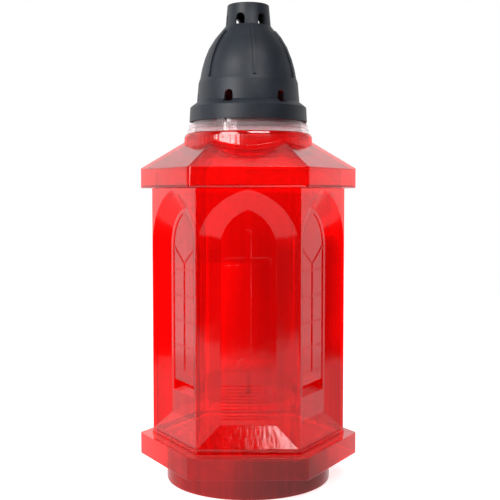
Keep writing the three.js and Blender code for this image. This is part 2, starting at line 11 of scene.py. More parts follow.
import bpy
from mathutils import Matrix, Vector


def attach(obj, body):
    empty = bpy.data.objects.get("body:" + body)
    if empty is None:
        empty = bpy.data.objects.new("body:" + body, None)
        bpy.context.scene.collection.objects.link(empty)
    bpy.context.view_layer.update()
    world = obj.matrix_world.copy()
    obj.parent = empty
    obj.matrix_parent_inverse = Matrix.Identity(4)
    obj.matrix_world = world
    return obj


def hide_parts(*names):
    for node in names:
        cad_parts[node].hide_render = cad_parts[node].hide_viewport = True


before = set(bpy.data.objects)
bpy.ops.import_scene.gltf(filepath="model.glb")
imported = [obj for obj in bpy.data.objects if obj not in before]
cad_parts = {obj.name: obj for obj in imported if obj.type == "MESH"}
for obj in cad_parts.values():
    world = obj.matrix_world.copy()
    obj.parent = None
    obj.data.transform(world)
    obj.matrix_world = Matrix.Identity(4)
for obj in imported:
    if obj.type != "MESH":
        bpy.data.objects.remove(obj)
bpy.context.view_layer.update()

# %% [markdown]
# The camera comes first, because each finish is judged through it. Its height, distance and tilt were found
# by fitting the lantern's level edges: the eye is a little above the middle of the body, about 60 cm away.

# %% Camera
eye_aside, eye_distance, eye_height, eye_tilt = 0.0011, 0.5967, 0.182, 3.45
eye = bpy.data.cameras.new("eye")
eye.sensor_width, eye.lens = 36, 67.32
camera = bpy.data.objects.new("camera", eye)
camera.location = (eye_aside, -eye_distance, eye_height)
camera.rotation_euler = (radians(90 - eye_tilt), 0, 0)
bpy.context.scene.collection.objects.link(camera)
bpy.context.scene.camera = camera
print("camera at", tuple(round(v, 4) for v in camera.location))

# %% [markdown]
# A finish is a net of nodes, and much of that net is sums: mask times mask, one minus a mask, a ramp of a
# height. By hand each sum is a Math node that is added and wired up. Here `Value` wraps one output socket,
# and each operator on it adds its Math node, so that a sum reads as plain arithmetic.

# %% Sums on sockets
class Value:
    """One output socket, with the sums that can be done on it."""

    def __init__(self, tree, socket):
        self.tree, self.socket = tree, socket

    def _math(self, operation, *terms):
        node = self.tree.nodes.new("ShaderNodeMath")
        node.operation = operation
        for socket, term in zip(node.inputs, terms):
            if isinstance(term, Value):
                self.tree.links.new(term.socket, socket)
            else:
                socket.default_value = term
        return Value(self.tree, node.outputs[0])

    def __add__(self, other):
        return self._math("ADD", self, other)

    def __radd__(self, other):
        return self._math("ADD", other, self)

    def __sub__(self, other):
        return self._math("SUBTRACT", self, other)

    def __rsub__(self, other):
        return self._math("SUBTRACT", other, self)

    def __mul__(self, other):
        return self._math("MULTIPLY", self, other)

    def __rmul__(self, other):
        return self._math("MULTIPLY", other, self)

    def __truediv__(self, other):
        return self._math("DIVIDE", self, other)

    def __pow__(self, other):
        return self._math("POWER", self, other)

    def clipped(self):
        return self._math("MINIMUM", self._math("MAXIMUM", self, 0.0), 1.0)

    def ramp(self, low, high):
        """0 below low, 1 above high, and a soft step between them."""
        node = self.tree.nodes.new("ShaderNodeMapRange")
        node.interpolation_type = "SMOOTHSTEP"
        node.inputs["From Min"].default_value = low
        node.inputs["From Max"].default_value = high
        self.tree.links.new(self.socket, node.inputs["Value"])
        return Value(self.tree, node.outputs["Result"])


print("sums ready")

# %% [markdown]
# `Finish` holds the node tree of one material, or of the world. Its `add` makes any node: the settings first,
# because they decide which sockets there are, and then the values or links of its sockets. The other methods
# are the few things that every finish here does: take a place on the piece, lay noise over it, blend two
# colours and put one shader over another.

# %% Nodes and shaders
WHITE = (1, 1, 1, 1)


class Finish:
    """The node tree of one material or of the world."""

    def __init__(self, owner):
        owner.use_nodes = True
        self.tree = owner.node_tree
        self.tree.nodes.clear()

    def add(self, kind, settings=None, output=0, **sockets):
        """A node of any kind, as the value of one of its outputs."""
        node = self.tree.nodes.new("ShaderNode" + kind)
        for name, value in (settings or {}).items():
            setattr(node, name, value)
        for name, value in sockets.items():
            wanted = name.replace("_", " ")
            socket = next(s for s in node.inputs if s.name == wanted and s.enabled)
            if isinstance(value, Value):
                self.tree.links.new(value.socket, socket)
            else:
                socket.default_value = value
        return Value(self.tree, node.outputs[output])

    def parts(self, kind, names, **sockets):
        """One node of which several outputs are used, as a list of values."""
        outputs = self.add(kind, **sockets).socket.node.outputs
        return [Value(self.tree, outputs[name]) for name in names]

    def place(self, stretch=(1, 1, 1)):
        """Object coordinates in metres, squeezed or stretched along each axis."""
        spot = self.add("TexCoord", output="Object")
        return self.add("Mapping", Vector=spot, Scale=stretch)

    def noise(self, size, detail=2.0, stretch=(1, 1, 1)):
        """Soft noise whose blotches are about size metres across."""
        return self.add("TexNoise", Vector=self.place(stretch), Scale=1 / size, Detail=detail)

    def blend(self, amount, first, second):
        """A colour between two, by amount."""
        node = self.tree.nodes.new("ShaderNodeMix")
        node.data_type = "RGBA"
        self.tree.links.new(amount.socket, node.inputs["Factor"])
        for socket, colour in zip([s for s in node.inputs if s.type == "RGBA"], (first, second)):
            socket.default_value = (*colour, 1)
        return Value(self.tree, next(s for s in node.outputs if s.type == "RGBA"))

    def _join(self, joined, shaders):
        places = [s for s in joined.socket.node.inputs if s.type == "SHADER"]
        for socket, shader in zip(places, shaders):
            self.tree.links.new(shader.socket, socket)
        return joined

    def mix(self, amount, first, second):
        """One shader over another, by amount."""
        return self._join(self.add("MixShader", Fac=amount), (first, second))

    def both(self, first, second):
        """The light of two shaders together."""
        return self._join(self.add("AddShader"), (first, second))

    def surface(self, shader, kind="OutputMaterial"):
        out = self.tree.nodes.new("ShaderNode" + kind)
        self.tree.links.new(shader.socket, out.inputs["Surface"])


def new_finish(name):
    material = bpy.data.materials.new(name)
    return material, Finish(material)


print("nodes ready")

# %% [markdown]
# Clear plastic has hardly a look of its own: it shows the room behind it, tinted. So the room is made for the
# plastic. It is white for the eye, and for light that has come through the lantern it is a backdrop that is
# brighter straight behind, as when such a thing is lit from behind on a table. The backdrop dims towards the
# lower right, and is brighter above the height of the eye and along the lantern's edges. Further round it is
# a plain pale wall, so that the clear liner still shows when it is lifted out.

# %% Backdrop behind the lantern
room = bpy.data.worlds.new("room")
bpy.context.scene.world = room
air = Finish(room)
way = air.add("TexCoord", output="Generated")
across, along, up = air.parts("SeparateXYZ", "XYZ", Vector=way)
both_sides = across * across

plain_wall, low_glow, high_glow, edge_glow = 0.8, 1.3, 1.65, 0.6
dim_right = (0.59 - 0.33 * up.ramp(-0.075, 0.0)) * across.ramp(-0.068, 0.03)
at_edges = both_sides.ramp(0.0068, 0.0095)
over_eye = up.ramp(-0.001, 0.005)
low_part = (low_glow - dim_right + edge_glow * at_edges) * (1 - over_eye)
straight_behind = (1 - both_sides.ramp(0.017, 0.024)) * along.ramp(0.0, 0.1)
backdrop = plain_wall + (low_part + high_glow * over_eye - plain_wall) * straight_behind
print("backdrop from", plain_wall, "to", round(low_glow + edge_glow, 2))

# %% [markdown]
# The glossy skin of the plastic mirrors another side of the room: the one in front of the lantern and beside
# it. That is mostly dark, with light beside and behind, which is what gives the red faces their depth. The
# ceiling is dim but for a bright patch right overhead, the right corner is dim, and the left wall is lighter.
# A narrow tall slit of light far to the left draws the light edge on the stem of the cross.

# %% What the glossy faces mirror
darkest, wall_glow, slit_glow, slit_place = 0.03, 0.9, 6.0, -0.68
lit_side = along.ramp(-0.35, 0.45)
ceiling = 1 - 0.75 * up.ramp(0.55, 0.8) + 1.4 * up.ramp(0.9, 0.98)
right_corner = 1 - 0.7 * across.ramp(0.3, 0.8) * up.ramp(0.1, 0.4)
left_wall = 1 + 0.4 * (-1 * across).ramp(0.5, 0.9)
from_slit = across - slit_place
slit_width = 1 - (from_slit * from_slit).ramp(0.002, 0.006)
slit_height = 1 - (up * up).ramp(0.04, 0.08)
in_front = 1 - along.ramp(-0.6, -0.5)
walls = wall_glow * lit_side * ceiling * right_corner * left_wall
glow = darkest + walls + slit_glow * slit_width * in_front * slit_height
print("slit of light at", slit_place)

# %% [markdown]
# One world has to be all of these, and a Light Path node says which kind of ray is asking. A ray straight
# from the eye finds white. A ray that came through plastic, and was not scattered before, finds the backdrop.
# All others find the mirrored room. Light on the pieces comes from the same room, so it is kept at a plain
# level.

# %% One world for all rays
seen, through, scattered = air.parts("LightPath", ["Is Camera Ray", "Is Transmission Ray", "Diffuse Depth"])
direct = (through * (1 - scattered.clipped())).clipped()
strength = seen + (1 - seen) * (direct * backdrop + (1 - direct) * glow)
air.surface(air.add("Background", Color=WHITE, Strength=strength), "OutputWorld")
print("world", room.name)

# %% [markdown]
# An operator of Blender acts on whatever is selected, as it does by hand. So before each one, everything is
# let go, and then the piece, or the faces or edges of it that pass a test of their place or direction, are
# picked in code.

# %% Picking pieces, faces and edges
def deselect():
    if bpy.context.object and bpy.context.object.mode != "OBJECT":
        bpy.ops.object.mode_set(mode="OBJECT")
    bpy.ops.object.select_all(action="DESELECT")


def pick(piece):
    deselect()
    bpy.context.view_layer.objects.active = piece
    piece.select_set(True)


def pick_parts(piece, kind, wanted):
    """Open the piece in edit mode with the faces or edges that pass the test selected."""
    pick(piece)
    bpy.ops.object.mode_set(mode="EDIT")
    bpy.ops.mesh.select_mode(type=kind)
    bpy.ops.mesh.select_all(action="DESELECT")
    bpy.ops.object.mode_set(mode="OBJECT")
    parts = piece.data.polygons if kind == "FACE" else piece.data.edges
    chosen = [wanted(part) for part in parts]
    parts.foreach_set("select", chosen)
    bpy.ops.object.mode_set(mode="EDIT")
    print(piece.name, sum(chosen), kind.lower() + "s picked")


def smooth(piece, degrees=28):
    """Shade smooth, but keep every edge that turns more than an angle."""
    pick(piece)
    bpy.ops.object.shade_smooth_by_angle(angle=radians(degrees))


print("picking ready")

# %% [markdown]
# The lantern stands on a pale table. One plane is enough, since only its top shows. It runs from under the
# eye to far behind the lantern, where the lower half of the body shows it through the plastic.

# %% Table
table_width, table_length, table_middle = 0.87, 2.49, 0.625
deselect()
bpy.ops.mesh.primitive_plane_add(size=1, location=(0, table_middle, 0))
table = bpy.context.object
table.name = "table"
table.scale = (table_width, table_length, 1)
bpy.ops.object.transform_apply(location=True, scale=True)
print("table", [round(v, 2) for v in table.dimensions])

# %% [markdown]
# The table's finish is three looks in one. Seen directly, it is matt white paper with a faint speckle, lifted
# to white by a little light of its own, and it keeps the lantern's shadow. Seen through the plastic it is a
# painted glow that carries on the backdrop: bright straight behind, dimmer to the right, and with a painted
# shadow dark close round the foot. Here `slant` is how far to the side a spot lies as seen from the eye. Seen
# in a mirror face the table is a painted glow too, light at the lantern and fading to dark towards its front
# edge, or the sloping sill would turn grey. A ray bent by clear plastic counts as glossy too, so the look
# through the plastic is mixed in last, over the others.

# %% Finish of the table
pale, cover = new_finish("table_white")
straight, filtered, mirrored = cover.parts(
    "LightPath", ["Is Camera Ray", "Is Transmission Ray", "Is Glossy Ray"])
where = cover.add("TexCoord", output="Object")
aside, ahead = cover.parts("SeparateXYZ", "XY", Vector=where)

speckle = cover.noise(0.004, 3.0)
matt = cover.add("BsdfDiffuse", Color=cover.blend(speckle, (0.78, 0.78, 0.78), (0.82, 0.82, 0.81)))
lift = cover.add("Emission", Color=WHITE, Strength=straight * 0.75)
open_look = cover.both(matt, lift)

eye_reach = 0.6
# Painted shadow and light: seen through the plastic, the table is darkened close round the foot and dimmer to
# the right.
near_foot = 1 - ((aside * aside + ahead * ahead) ** 0.5).ramp(0.04, 0.08)
painted_foot_shadow = 1 - near_foot * (0.56 + 0.17 * aside.ramp(-0.03, 0.03))
slant = aside / (ahead + eye_reach)
both_slants = slant * slant
in_view = 1 - both_slants.ramp(0.017, 0.024)
far_edges = both_slants.ramp(0.0068, 0.0095) * ahead.ramp(0.3, 0.6)
painted_brightness = 0.63 - 0.72 * aside.ramp(-0.055, 0.038) + edge_glow * far_edges
painted_behind_look = cover.add("Emission", Color=WHITE, Strength=(plain_wall + painted_brightness * in_view) * painted_foot_shadow)

# Painted reflection: for mirror rays the table glows, fading to dark towards its front edge.
painted_front_fade = 0.02 + 0.72 * ahead.ramp(-0.60, -0.42)
painted_mirror_glow = cover.add("Emission", Color=WHITE, Strength=painted_front_fade)
cover.surface(cover.mix(filtered, cover.mix(mirrored, open_look, painted_mirror_glow), painted_behind_look))
table.data.materials.append(pale)
print("finish", pale.name)

# %% [markdown]
# Two large soft lamps stand for the windows of the room. The left one lights the collar and the lid, and the
# high one puts a white gleam on the sloping sill. An area lamp shines along its own minus Z, so its Z axis is
# turned to point away from the lantern.

# %% Lamps
lantern_middle = Vector((0, 0, 0.15))


def softbox(name, azimuth, elevation, distance, width, height, watts):
    lamp = bpy.data.lights.new(name, "AREA")
    lamp.shape, lamp.size, lamp.size_y, lamp.energy = "RECTANGLE", width, height, watts
    holder = bpy.data.objects.new(name, lamp)
    a, e = radians(azimuth), radians(elevation)
    away = Vector((sin(a) * cos(e), -cos(a) * cos(e), sin(e)))
    holder.location = lantern_middle + away * distance
    holder.rotation_euler = away.to_track_quat("Z", "Y").to_euler()
    bpy.context.scene.collection.objects.link(holder)


softbox("window_left", azimuth=-38, elevation=26, distance=1.5, width=0.7, height=0.85, watts=14)
softbox("softbox_high", azimuth=22, elevation=45, distance=1.5, width=0.8, height=0.34, watts=7.5)

# %% [markdown]
# Light that goes through a wall of clear plastic is bent a little and takes its colour. A glass shader would
# do both, but it mirrors light inside the wall too, and the many thin walls of the lantern then turn nearly
# black. A Refraction shader alone is used instead, with a bending index just over 1 in place of the real
# 1.59: light goes nearly straight, and every wall that it crosses multiplies in its tint. Two tints are mixed
# by a pattern, and a share can be scattered, for plastic that is a little milky.

# %% Light through a wall
def tinted_wall(plastic, amount, tints, haze, bending, rough, bump):
    """Light bent and tinted by a wall of two tints, with a share scattered in it."""
    bent = dict(Roughness=rough, IOR=bending, Normal=bump)
    first, second = (plastic.add("BsdfRefraction", Color=(*tint, 1), **bent) for tint in tints)
    clear = plastic.mix(amount, first, second)
    if haze == 0:
        return clear
    return plastic.mix(haze, clear, plastic.add("BsdfDiffuse", Color=(*tints[0], 1), Normal=bump))


print("walls ready")

# %% [markdown]
# The red plastic is injection moulded, so it is never quite even. The melt leaves upright streaks and soft
# clouds, here drawn as stretched noise between a lighter and a darker tint, and the skin has a slow swell
# under its polish, here a bump. A Bevel node rounds each edge by half a millimetre, as the mould does. The
# corner posts and the back half keep the lighter tint. At the posts that is painted light: the eye looks
# along the walls there, and the lighter tint keeps them from turning dark. Behind them the streaks would only
# double those in front. Over it all lies a glossy skin that grows towards grazing angles, as on any polished
# plastic.

# %% Red plastic
red_bending, edge_round, moulding_swell = 1.002, 0.0005, 0.00012


def red_plastic(name, tints, ripple=moulding_swell, haze=0.0, rim=0.95, facing_share=0.05, rough=0.06):
    """Tints are the lighter and the darker one; rim is how strongly the skin mirrors at a grazing angle."""
    material, plastic = new_finish(name)
    cloud = plastic.noise(0.03, 2.0)
    streak = plastic.noise(0.0022, 3.0, stretch=(1, 1, 0.04))
    drawn = plastic.noise(0.0045, 2.0, stretch=(1, 1, 0.015))
    grain = plastic.noise(0.0006, 2.0)
    swell = plastic.noise(0.014, 1.0)

    rounded = plastic.add("Bevel", {"samples": 6}, Radius=edge_round)
    height = swell + 0.4 * streak + 0.06 * grain
    bump = plastic.add("Bump", Strength=1.0, Distance=ripple, Height=height, Normal=rounded)

    x, y = plastic.parts("SeparateXYZ", "XY", Vector=plastic.place())
    # Painted light: the corner posts are kept in the lighter tint.
    painted_light_posts = ((x * x + y * y) ** 0.5).ramp(0.0585, 0.0605)
    uneven = (0.25 + 0.5 * cloud.ramp(0.3, 0.7) + 0.6 * drawn.ramp(0.35, 0.6)).clipped()
    amount = uneven * ((1 - painted_light_posts) * (1 - y.ramp(0.0, 0.01)))
    inside = tinted_wall(plastic, amount, tints, haze, red_bending, 0.01 + 0.02 * streak, bump)

    facing = plastic.add("LayerWeight", output="Facing", Blend=0.5, Normal=bump)
    gloss = plastic.add("BsdfGlossy", Color=WHITE, Roughness=rough + 0.06 * streak, Normal=bump)
    plastic.surface(plastic.mix(facing_share + rim * facing ** 5, inside, gloss))
    print("finish", name)
    return material


print("red plastic ready")

# %% [markdown]
# On the real lantern all of this is one red. It looks lighter or darker by how much plastic and which part
# of the room lies behind it. With an index near 1 light goes straight and shows less of that, so each
# moulding, and some of its faces, gets a tint of its own: lighter and darker copies of the one red, which
# paint in both the depth of plastic and the light and shade of the room. The window panes, the foot and the
# side facets are painted darker, the left pane most, and the eaves painted lighter. The ledges are paler and
# a little milky, painted light on their tops, because they are seen as pale bands. The collar is wavier and
# rougher, so that its light patch breaks up.

# %% Reds of the mouldings
red_body = red_plastic("red_body", [(0.99, 0.014, 0.012), (0.90, 0.006, 0.007)])
red_arch = red_plastic("red_arch", [(0.985, 0.014, 0.012), (0.965, 0.006, 0.007)])
# Painted light and shade: the panes, the foot and the side facets are darker copies of the red, and the
# ledges and the eaves paler ones.
pane_right_painted_shade = red_plastic("pane_right_painted_shade", [(0.93, 0.014, 0.012), (0.88, 0.006, 0.007)], rim=1.1)
pane_left_painted_shade = red_plastic("pane_left_painted_shade", [(0.80, 0.014, 0.012), (0.76, 0.006, 0.007)], rim=1.2)
red_base = red_plastic("red_base", [(1.0, 0.014, 0.012), (0.86, 0.010, 0.010)], rim=0.9)
foot_painted_shade = red_plastic("foot_painted_shade", [(0.92, 0.014, 0.012), (0.76, 0.010, 0.010)], rim=0.8)
ledge_painted_light = red_plastic("ledge_painted_light", [(0.90, 0.12, 0.11), (0.85, 0.10, 0.09)], haze=0.4, rim=0.9)
red_roof = red_plastic("red_roof", [(0.93, 0.030, 0.034), (0.90, 0.020, 0.024)], facing_share=0.09)
facet_painted_shade = red_plastic("facet_painted_shade", [(0.80, 0.020, 0.014), (0.77, 0.014, 0.010)])
eaves_painted_light = red_plastic("eaves_painted_light", [(0.998, 0.050, 0.030), (0.992, 0.040, 0.025)], haze=0.035)
red_collar = red_plastic("red_collar", [(0.88, 0.040, 0.034), (0.85, 0.030, 0.024)],
                         ripple=0.0008, rim=0.25, facing_share=0.09, rough=0.2)

# %% [markdown]
# The liner is clear, and what shows of it is the ring between the collar and the lid: a pinkish band that
# deepens upwards, with a groove under it. The pink is painted light, from the red roof caught in the thick
# rim, and the deepening towards the lid and the dark line at the groove are painted shade. So the clear
# plastic is made as the red one is, and its second, darker tint is painted in by height, at the groove and
# above it. The cup of the refill takes the same plastic with hardly any shine.

# %% Clear plastic
clear_bending = 1.001
groove_low, groove_high = 0.2219, 0.2233
band_low, band_high = 0.2236, 0.2262
groove_soft = 0.0006


def clear_plastic(name, tints, ripple, haze=0.0, rim=0.3):
    material, plastic = new_finish(name)
    swell = plastic.noise(0.012, 1.0)
    streak = plastic.noise(0.002, 2.0, stretch=(1, 1, 0.05))
    height = plastic.parts("SeparateXYZ", "Z", Vector=plastic.place())[0]
    into_groove = height.ramp(groove_low, groove_low + groove_soft)
    out_of_groove = height.ramp(groove_high - groove_soft, groove_high)
    painted_groove_shade = into_groove * (1 - out_of_groove)
    # Painted shade: the second tint darkens the rim at the groove and from the band up towards the lid.
    amount = (0.8 * painted_groove_shade + height.ramp(band_low, band_high) + 0.2 * streak).clipped()

    bump = plastic.add("Bump", Strength=1.0, Distance=ripple, Height=swell + 0.1 * streak)
    facing = plastic.add("LayerWeight", output="Facing", Blend=0.5, Normal=bump)
    inside = tinted_wall(plastic, amount, tints, haze, clear_bending, 0.01 + 0.02 * streak, bump)
    rough = 0.04 + haze * 0.5 + 0.05 * streak
    gloss = plastic.add("BsdfGlossy", Color=WHITE, Roughness=rough, Normal=bump)
    plastic.surface(plastic.mix(0.1 * rim + rim * facing ** 5, inside, gloss))
    print("finish", name)
    return material


liner_tints = [(0.995, 0.995, 0.995), (0.98, 0.98, 0.985)]
rim_painted_tints = [(0.93, 0.86, 0.86), (0.66, 0.50, 0.53)]
cup_tints = [(0.992, 0.992, 0.992), (0.985, 0.985, 0.985)]
clear_liner = clear_plastic("clear_liner", liner_tints, ripple=0.0001)
clear_rim = clear_plastic("clear_rim", rim_painted_tints, ripple=0.0008, haze=0.15, rim=0.8)
clear_cup = clear_plastic("clear_cup", cup_tints, ripple=0.0001, rim=0.06)

# %% [markdown]
# The lid is the one moulding that light does not go through: a bluish black plastic with a fine grain, so
# that it is half matt. One Principled shader does it, with a soft cloud in the colour and the grain as a
# bump.

# %% Black plastic
def black_plastic(name):
    material, plastic = new_finish(name)
    cloud = plastic.noise(0.012, 3.0)
    grain = plastic.noise(0.0007, 3.0)
    tint = plastic.blend(cloud.ramp(0.35, 0.7), (0.013, 0.017, 0.025), (0.019, 0.025, 0.036))
    bump = plastic.add("Bump", Strength=0.5, Distance=0.00006, Height=grain)
    plastic.surface(plastic.add("BsdfPrincipled", Base_Color=tint, Roughness=0.42 + 0.12 * grain,
                                IOR=1.5, Normal=bump))
    print("finish", name)
    return material


black_lid = black_plastic("black_lid")

# %% [markdown]
# The refill is a low round of white wax in its cup. Wax scatters light inside itself. A Subsurface shader
# would be the usual way, but behind several red and clear walls it only costs time, so the wax is a slightly
# milky version of the clear plastic. It is much clearer than real wax, because the refill should hardly show
# from the front.

# %% Wax
wax_bending, wax_haze = 1.003, 0.12
wax_made, wax = new_finish("wax")
mottle = wax.noise(0.004, 3.0)
softness = wax.add("Bump", Strength=0.4, Distance=0.0003, Height=mottle)
wax_tints = [(0.98, 0.975, 0.96), (0.995, 0.99, 0.985)]
wax.surface(tinted_wall(wax, mottle, wax_tints, wax_haze, wax_bending, 0.01 + 0.02 * mottle, softness))
print("finish wax, haze", wax_haze)

# %% [markdown]
# A cotton wick stands in the wax, held by a tin disc. Tin is a brushed metal, and cotton a twisted cord whose
# strands run slantwise, drawn with a wave pattern. For the same reason as the wax, both are thinned out:
# nineteen parts in twenty of each let the light through.

# %% Tin and cotton
hardly_seen = 0.95


def let_through(finish, shader):
    """The shader thinned out, so that light mostly goes through what it covers."""
    clear = finish.add("BsdfRefraction", Color=(0.97, 0.96, 0.94, 1), Roughness=0.02, IOR=1.004)
    finish.surface(finish.mix(hardly_seen, shader, clear))


tin_made, tin = new_finish("tin")
brush = tin.noise(0.0005, 3.0)
let_through(tin, tin.add(
    "BsdfPrincipled", Base_Color=tin.blend(brush, (0.60, 0.61, 0.62), (0.75, 0.76, 0.77)),
    Metallic=1.0, Roughness=0.25 + 0.15 * brush,
    Normal=tin.add("Bump", Strength=0.3, Distance=0.00003, Height=brush)))

cotton_made, cotton = new_finish("cotton")
lay = cotton.add("TexWave", {"bands_direction": "DIAGONAL"},
                 Vector=cotton.place(), Scale=260.0, Distortion=1.0)
let_through(cotton, cotton.add(
    "BsdfPrincipled", Base_Color=cotton.blend(lay, (0.70, 0.65, 0.52), (0.88, 0.84, 0.73)), Roughness=0.85,
    Normal=cotton.add("Bump", Strength=0.8, Distance=0.0002, Height=lay)))
print("finishes tin and cotton, let through", hardly_seen)

# %% [markdown]
# The mouldings are exact in the CAD solids, so a piece starts as a copy of its solid and not from a
# primitive. The copy's loose triangles are merged and the flat faces joined, which gives clean faces that can
# be picked and shaded smooth. Each copy rides on its moving body, replaces its solid in the picture, and
# takes its finish as its material.

# %% Pieces
same_point, same_plane = 2e-6, 0.4


def smooth_copy(node, piece_name, body, material):
    deselect()
    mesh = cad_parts[node].data.copy()
    mesh.name = piece_name
    piece = bpy.data.objects.new(piece_name, mesh)
    bpy.context.scene.collection.objects.link(piece)
    pick(piece)
    bpy.ops.object.mode_set(mode="EDIT")
    bpy.ops.mesh.select_all(action="SELECT")
    bpy.ops.mesh.remove_doubles(threshold=same_point)
    bpy.ops.mesh.dissolve_limited(angle_limit=radians(same_plane))
    bpy.ops.object.mode_set(mode="OBJECT")
    if mesh.has_custom_normals:
        bpy.ops.mesh.customdata_custom_splitnormals_clear()
    smooth(piece)
    mesh.materials.clear()
    mesh.materials.append(material)
    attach(piece, body)
    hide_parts(node)
    print(piece_name, len(mesh.vertices), "points", len(mesh.polygons), "faces")
    return piece


plinth = smooth_copy("base_plinth", "plinth", "housing", red_base)
body = smooth_copy("body_shell", "niche_body", "housing", red_body)
liner = smooth_copy("inner_cup", "liner", "liner", clear_liner)
smooth_copy("lid_hood", "lid", "lid", black_lid)
cup = smooth_copy("candle_cup", "refill_cup", "refill", clear_cup)
smooth_copy("candle_wax", "wax", "refill", wax_made)
smooth_copy("wick_holder", "wick_disc", "refill", tin_made)
smooth_copy("wick", "wick_cord", "refill", cotton_made)

# %% [markdown]
# The body has six faces with a niche in each, and a cross niche and a window niche take turns round it. So
# each small change is made three or six times. These sizes are the solids' own: the flat faces, the panels
# sunk behind them, the relief on the panels, the top of the sill, the height where the arches spring, and the
# heights between which only the cross stands. A point counts as lying in a plane when it is nearer than
# `near_plane`, and a `hair` keeps a test clear of the height that it starts from. The reliefs are so shallow
# that edges from 20 degrees up are kept sharp. `square_on` gives the two directions in which a face is
# measured: sideways along it and straight out from it.

# %% Sizes of the body
body_radius, body_foot = 0.0614, 0.028
face_depth = body_radius * cos(pi / 6)
panel_depth = face_depth - 0.007
relief = 0.0007
sill_top, springing = 0.0439, 0.1493
cross_low, cross_high = 0.085, 0.185
near_plane, hair, relief_angle = 4e-5, 0.0002, 20
cross_turns, window_turns, all_turns = (0, 120, 240), (60, 180, 300), range(0, 360, 60)


def square_on(turn):
    """The sideways and outward directions of the face that lies a turn, in degrees, round from the front."""
    c, s = cos(radians(turn)), sin(radians(turn))
    return Vector((c, s, 0)), Vector((s, -c, 0))


outward_ways = [square_on(turn)[1] for turn in all_turns]
print("body", round(2 * face_depth, 4), "across the flats")

# %% [markdown]
# Under the cross a flight of eleven low steps climbs the panel, and each shows as a light line. The solids'
# steps are low teeth whose noses lie below their middles. Raising each nose by a millimetre puts it just
# under the step's upper edge, which gives a narrow level top that catches the light and a long slope below.

# %% Crisp noses on the steps
nose_depth, nose_lift, near_nose = panel_depth + 0.0005, 0.00105, 2e-5
lowest_step, highest_step = sill_top + 0.0005, sill_top + 0.0252
moved = 0
for turn in cross_turns:
    outward = square_on(turn)[1]
    for point in body.data.vertices:
        on_nose = abs(point.co.dot(outward) - nose_depth) < near_nose
        if on_nose and lowest_step < point.co.z < highest_step:
            point.co.z += nose_lift
            moved += 1
print("step points moved", moved)

# %% [markdown]
# The cross is a shallow relief on the panel. A light line runs along the top of its arms, which a sunk relief
# gives, because the upper edge of a hollow faces down and mirrors the pale table. The solids have it raised.
# Its face is pushed in by twice its height, so that the same points make the same outline, sunk.

# %% Sunk crosses
sunk = 0
for turn in cross_turns:
    outward = square_on(turn)[1]
    for point in body.data.vertices:
        on_cross = abs(point.co.dot(outward) - panel_depth - relief) < near_plane
        if on_cross and cross_low < point.co.z < cross_high:
            point.co -= outward * 2 * relief
            sunk += 1
print("cross points sunk", sunk)

# %% [markdown]
# In each window a mullion forks below the arch. The solids' fork has two round arms, and the real one is a
# plain V. No operator turns an arc straight, so the points of the arms are found by their distance from the
# arc's centre, and each is lifted by what the V is higher than the arc at its place.

# %% Pointed forks in the windows
window_half, fork_rise, half_bar = 0.0143, 0.0103, 0.00047
fork_low = springing - fork_rise
behind_bars, before_bars = 0.044, 0.0464
old_crotch, new_crotch, near_crotch = 0.002, 0.0007, 1e-4
arm_radius = (window_half ** 2 + fork_rise ** 2) / (2 * fork_rise)
forked = 0
for turn in window_turns:
    sideways, outward = square_on(turn)
    for point in body.data.vertices:
        aside, depth, z = point.co.dot(sideways), point.co.dot(outward), point.co.z
        if not behind_bars < depth < before_bars or abs(aside) > window_half:
            continue
        from_centre = sqrt(aside ** 2 + (z - fork_low - arm_radius) ** 2)
        if abs(from_centre - arm_radius) < half_bar and z < springing:
            arc = arm_radius - sqrt(arm_radius ** 2 - aside ** 2)
            point.co.z += fork_rise * abs(aside) / window_half - arc
            forked += 1
        elif abs(aside) < half_bar and abs(z - fork_low - old_crotch) < near_crotch:
            point.co.z = fork_low + new_crotch
            forked += 1
print("fork points moved", forked)

# %% [markdown]
# The niches reach almost to the body's corners, so that only a narrow post is left between two of them.
# Their outlines on the faces are drawn out sideways by a fixed share, which keeps the shape of the arch and
# leaves the panel behind it alone, and the splay between the two gets a little wider.

# %% Niches as wide as their faces
wider_share, niche_half, niche_low, niche_high = 0.065, 0.0285, 0.03, 0.195
near_face = 0.0003
widened = 0
for turn in all_turns:
    sideways, outward = square_on(turn)
    for point in body.data.vertices:
        aside = point.co.dot(sideways)
        on_face = abs(point.co.dot(outward) - face_depth) < near_face
        if on_face and abs(aside) < niche_half and niche_low < point.co.z < niche_high:
            point.co += sideways * (wider_share * aside)
            widened += 1
smooth(body, relief_angle)
print("niche points moved", widened)

# %% [markdown]
# Two kinds of faces on the body get their own red: the window panes left and right of the front, which the
# eye sees at a slant, and the splays of the arches. A finish for some of its faces is a further material on
# the mesh: the first one is number 0, and those added here are 1, 2 and 3.
# Each face gets its number by its place and direction.

# %% Panes and arches in their own reds
for finish in (pane_right_painted_shade, pane_left_painted_shade, red_arch):
    body.data.materials.append(finish)
beside_front = (60, 300)
pane_low, pane_high, pane_depth = 0.06, 0.19, 0.048
slant_least, slant_most, flat = 0.7, 0.93, 0.9
panes = arches = 0
# Painted shade: the panes beside the front take darker reds, the left one darker than the right.
for turn in beside_front:
    outward = square_on(turn)[1]
    for face in body.data.polygons:
        on_pane = face.normal.dot(outward) > flat and face.center.dot(outward) < pane_depth
        if on_pane and pane_low < face.center.z < pane_high:
            face.material_index = 1 if face.center.x > 0 else 2
            panes += 1
for face in body.data.polygons:
    if face.center.z > springing + hair:
        facing = max(face.normal.dot(outward) for outward in outward_ways)
        if slant_least < facing < slant_most:
            face.material_index = 3
            arches += 1
print("pane faces", panes, "arch faces", arches)

